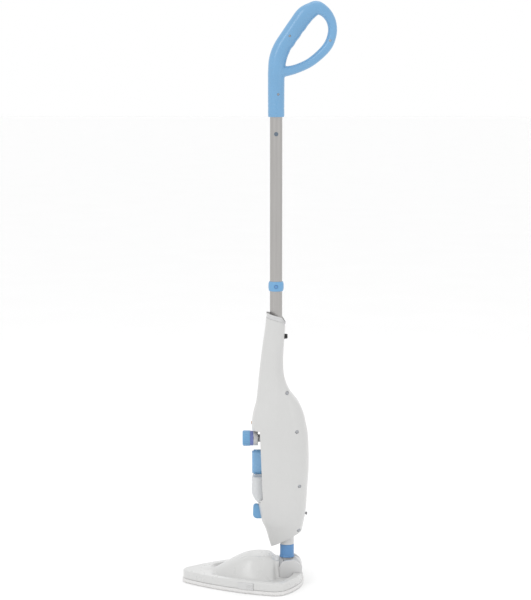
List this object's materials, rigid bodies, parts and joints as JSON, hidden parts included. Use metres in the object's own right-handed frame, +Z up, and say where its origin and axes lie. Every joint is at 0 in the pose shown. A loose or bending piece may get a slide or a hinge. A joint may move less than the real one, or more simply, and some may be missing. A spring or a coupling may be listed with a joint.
{
  "type": "steam mop",
  "caption": "Upright steam mop with a triangular floor head, two-axis neck, slim steam unit with slide-out tank and dial, two-piece pole and a loop handle.",
  "frame": {"origin": "on the floor under the cloth pad, straight below the axis of the neck collar", "axes": "+Z up along the pole, -Y forward to the tip of the floor head, +X to one flank of the mop, the side that the snap buttons and shell screws face"},
  "size_m": [0.2376, 0.3147, 1.189],
  "materials": {
    "white_plastic": "moulded glossy light grey-white plastic",
    "blue_plastic": "moulded satin light blue plastic",
    "deep_blue_plastic": "moulded satin deeper blue plastic",
    "slate_plastic": "slate grey-blue plastic",
    "dark_plastic": "black moulded plastic",
    "tube_metal": "satin anodised aluminium tube",
    "clear_plastic": "clear moulded tank plastic",
    "pad_cloth": "white microfibre cloth with a short looped pile",
    "hook_tape": "hook-and-loop tape",
    "steel": "zinc-plated steel",
    "brass": "turned brass",
    "cast_aluminium": "rough cast aluminium",
    "black_rubber": "black moulded rubber",
    "hose_silicone": "milky silicone hose",
    "lead_wire": "insulated lead",
    "ceramic_white": "white sleeve",
    "lamp_amber": "translucent amber lamp lens",
    "grey_plastic": "mid-grey plastic"
  },
  "bodies": {
    "head": {"pad": "pad_cloth", "base_plate": "white_plastic", "hook_strips": "hook_tape", "steam_gasket": "black_rubber", "head_cover": "white_plastic", "hinge_base": "white_plastic", "tilt_pins": "steel", "steam_inlet": "brass", "head_screws": "steel", "pad_clip_left": "white_plastic", "pad_clip_right": "white_plastic"},
    "neck_yoke": {"yoke": "white_plastic", "swivel_pin": "steel", "joint_hose": "black_rubber"},
    "steam_unit": {"neck_knuckle": "white_plastic", "neck_collar": "deep_blue_plastic", "collar_seal": "black_rubber", "outlet_socket": "white_plastic", "outlet_spigot": "brass", "left_shell": "white_plastic", "right_shell": "white_plastic", "front_panel": "grey_plastic", "tank_bay": "grey_plastic", "knob_boss": "white_plastic", "top_rim": "white_plastic", "shell_screws": "steel", "indicator_lens": "lamp_amber", "rear_stud": "grey_plastic", "cord_gland": "black_rubber", "steam_valve": "dark_plastic", "tank_seat": "black_rubber", "pump": "dark_plastic", "boiler": "cast_aluminium", "thermostat": "dark_plastic", "thermal_fuse": "ceramic_white", "control_board": "dark_plastic", "suction_hose": "hose_silicone", "valve_hose": "hose_silicone", "boiler_hose": "hose_silicone", "power_leads": "lead_wire", "tube_clamp": "steel", "lower_tube": "tube_metal", "tube_joiner": "dark_plastic", "coupling_ring": "blue_plastic", "upper_tube": "tube_metal", "handle_stem": "dark_plastic", "handle_left": "blue_plastic", "handle_right": "blue_plastic", "handle_screws": "steel", "snap_springs": "steel"},
    "knob": {"steam_knob": "blue_plastic", "knob_skirt": "deep_blue_plastic", "valve_stem": "brass"},
    "tank": {"water_tank": "clear_plastic", "tank_cap": "blue_plastic", "tank_valve": "grey_plastic"},
    "latch": {"tank_latch": "blue_plastic"},
    "release": {"release_button": "blue_plastic"},
    "ring_button": {"coupling_button": "deep_blue_plastic"},
    "snap_button": {"handle_button": "slate_plastic"}
  },
  "joints": [
    {"name": "neck_tilt", "type": "hinge", "parent": "head", "child": "neck_yoke", "pos_m": [0, 0.0075, 0.0345], "axis": [-1, 0, 0], "range_deg": [0, 65]},
    {"name": "neck_swivel", "type": "hinge", "parent": "neck_yoke", "child": "steam_unit", "pos_m": [0, 0, 0.04], "axis": [0, 1, 0], "range_deg": [-30, 30]},
    {"name": "steam_dial", "type": "hinge", "parent": "steam_unit", "child": "knob", "pos_m": [0, -0.08, 0.3005], "axis": [0, -1, 0], "range_deg": [0, 180]},
    {"name": "tank_slide", "type": "slide", "parent": "steam_unit", "child": "tank", "axis": [0, -1, 0], "range_m": [0, 0.06]},
    {"name": "latch_press", "type": "slide", "parent": "tank", "child": "latch", "axis": [0, 1, 0], "range_m": [0, 0.0025], "stiffness_N_per_m": 900, "springref_m": -0.0015},
    {"name": "release_press", "type": "slide", "parent": "steam_unit", "child": "release", "axis": [0, 1, 0], "range_m": [0, 0.0025], "stiffness_N_per_m": 900, "springref_m": -0.0015},
    {"name": "ring_button_press", "type": "slide", "parent": "steam_unit", "child": "ring_button", "axis": [-1, 0, 0], "range_m": [0, 0.002], "stiffness_N_per_m": 900, "springref_m": -0.0015},
    {"name": "snap_button_press", "type": "slide", "parent": "steam_unit", "child": "snap_button", "axis": [-1, 0, 0], "range_m": [0, 0.002], "stiffness_N_per_m": 900, "springref_m": -0.0015}
  ]
}
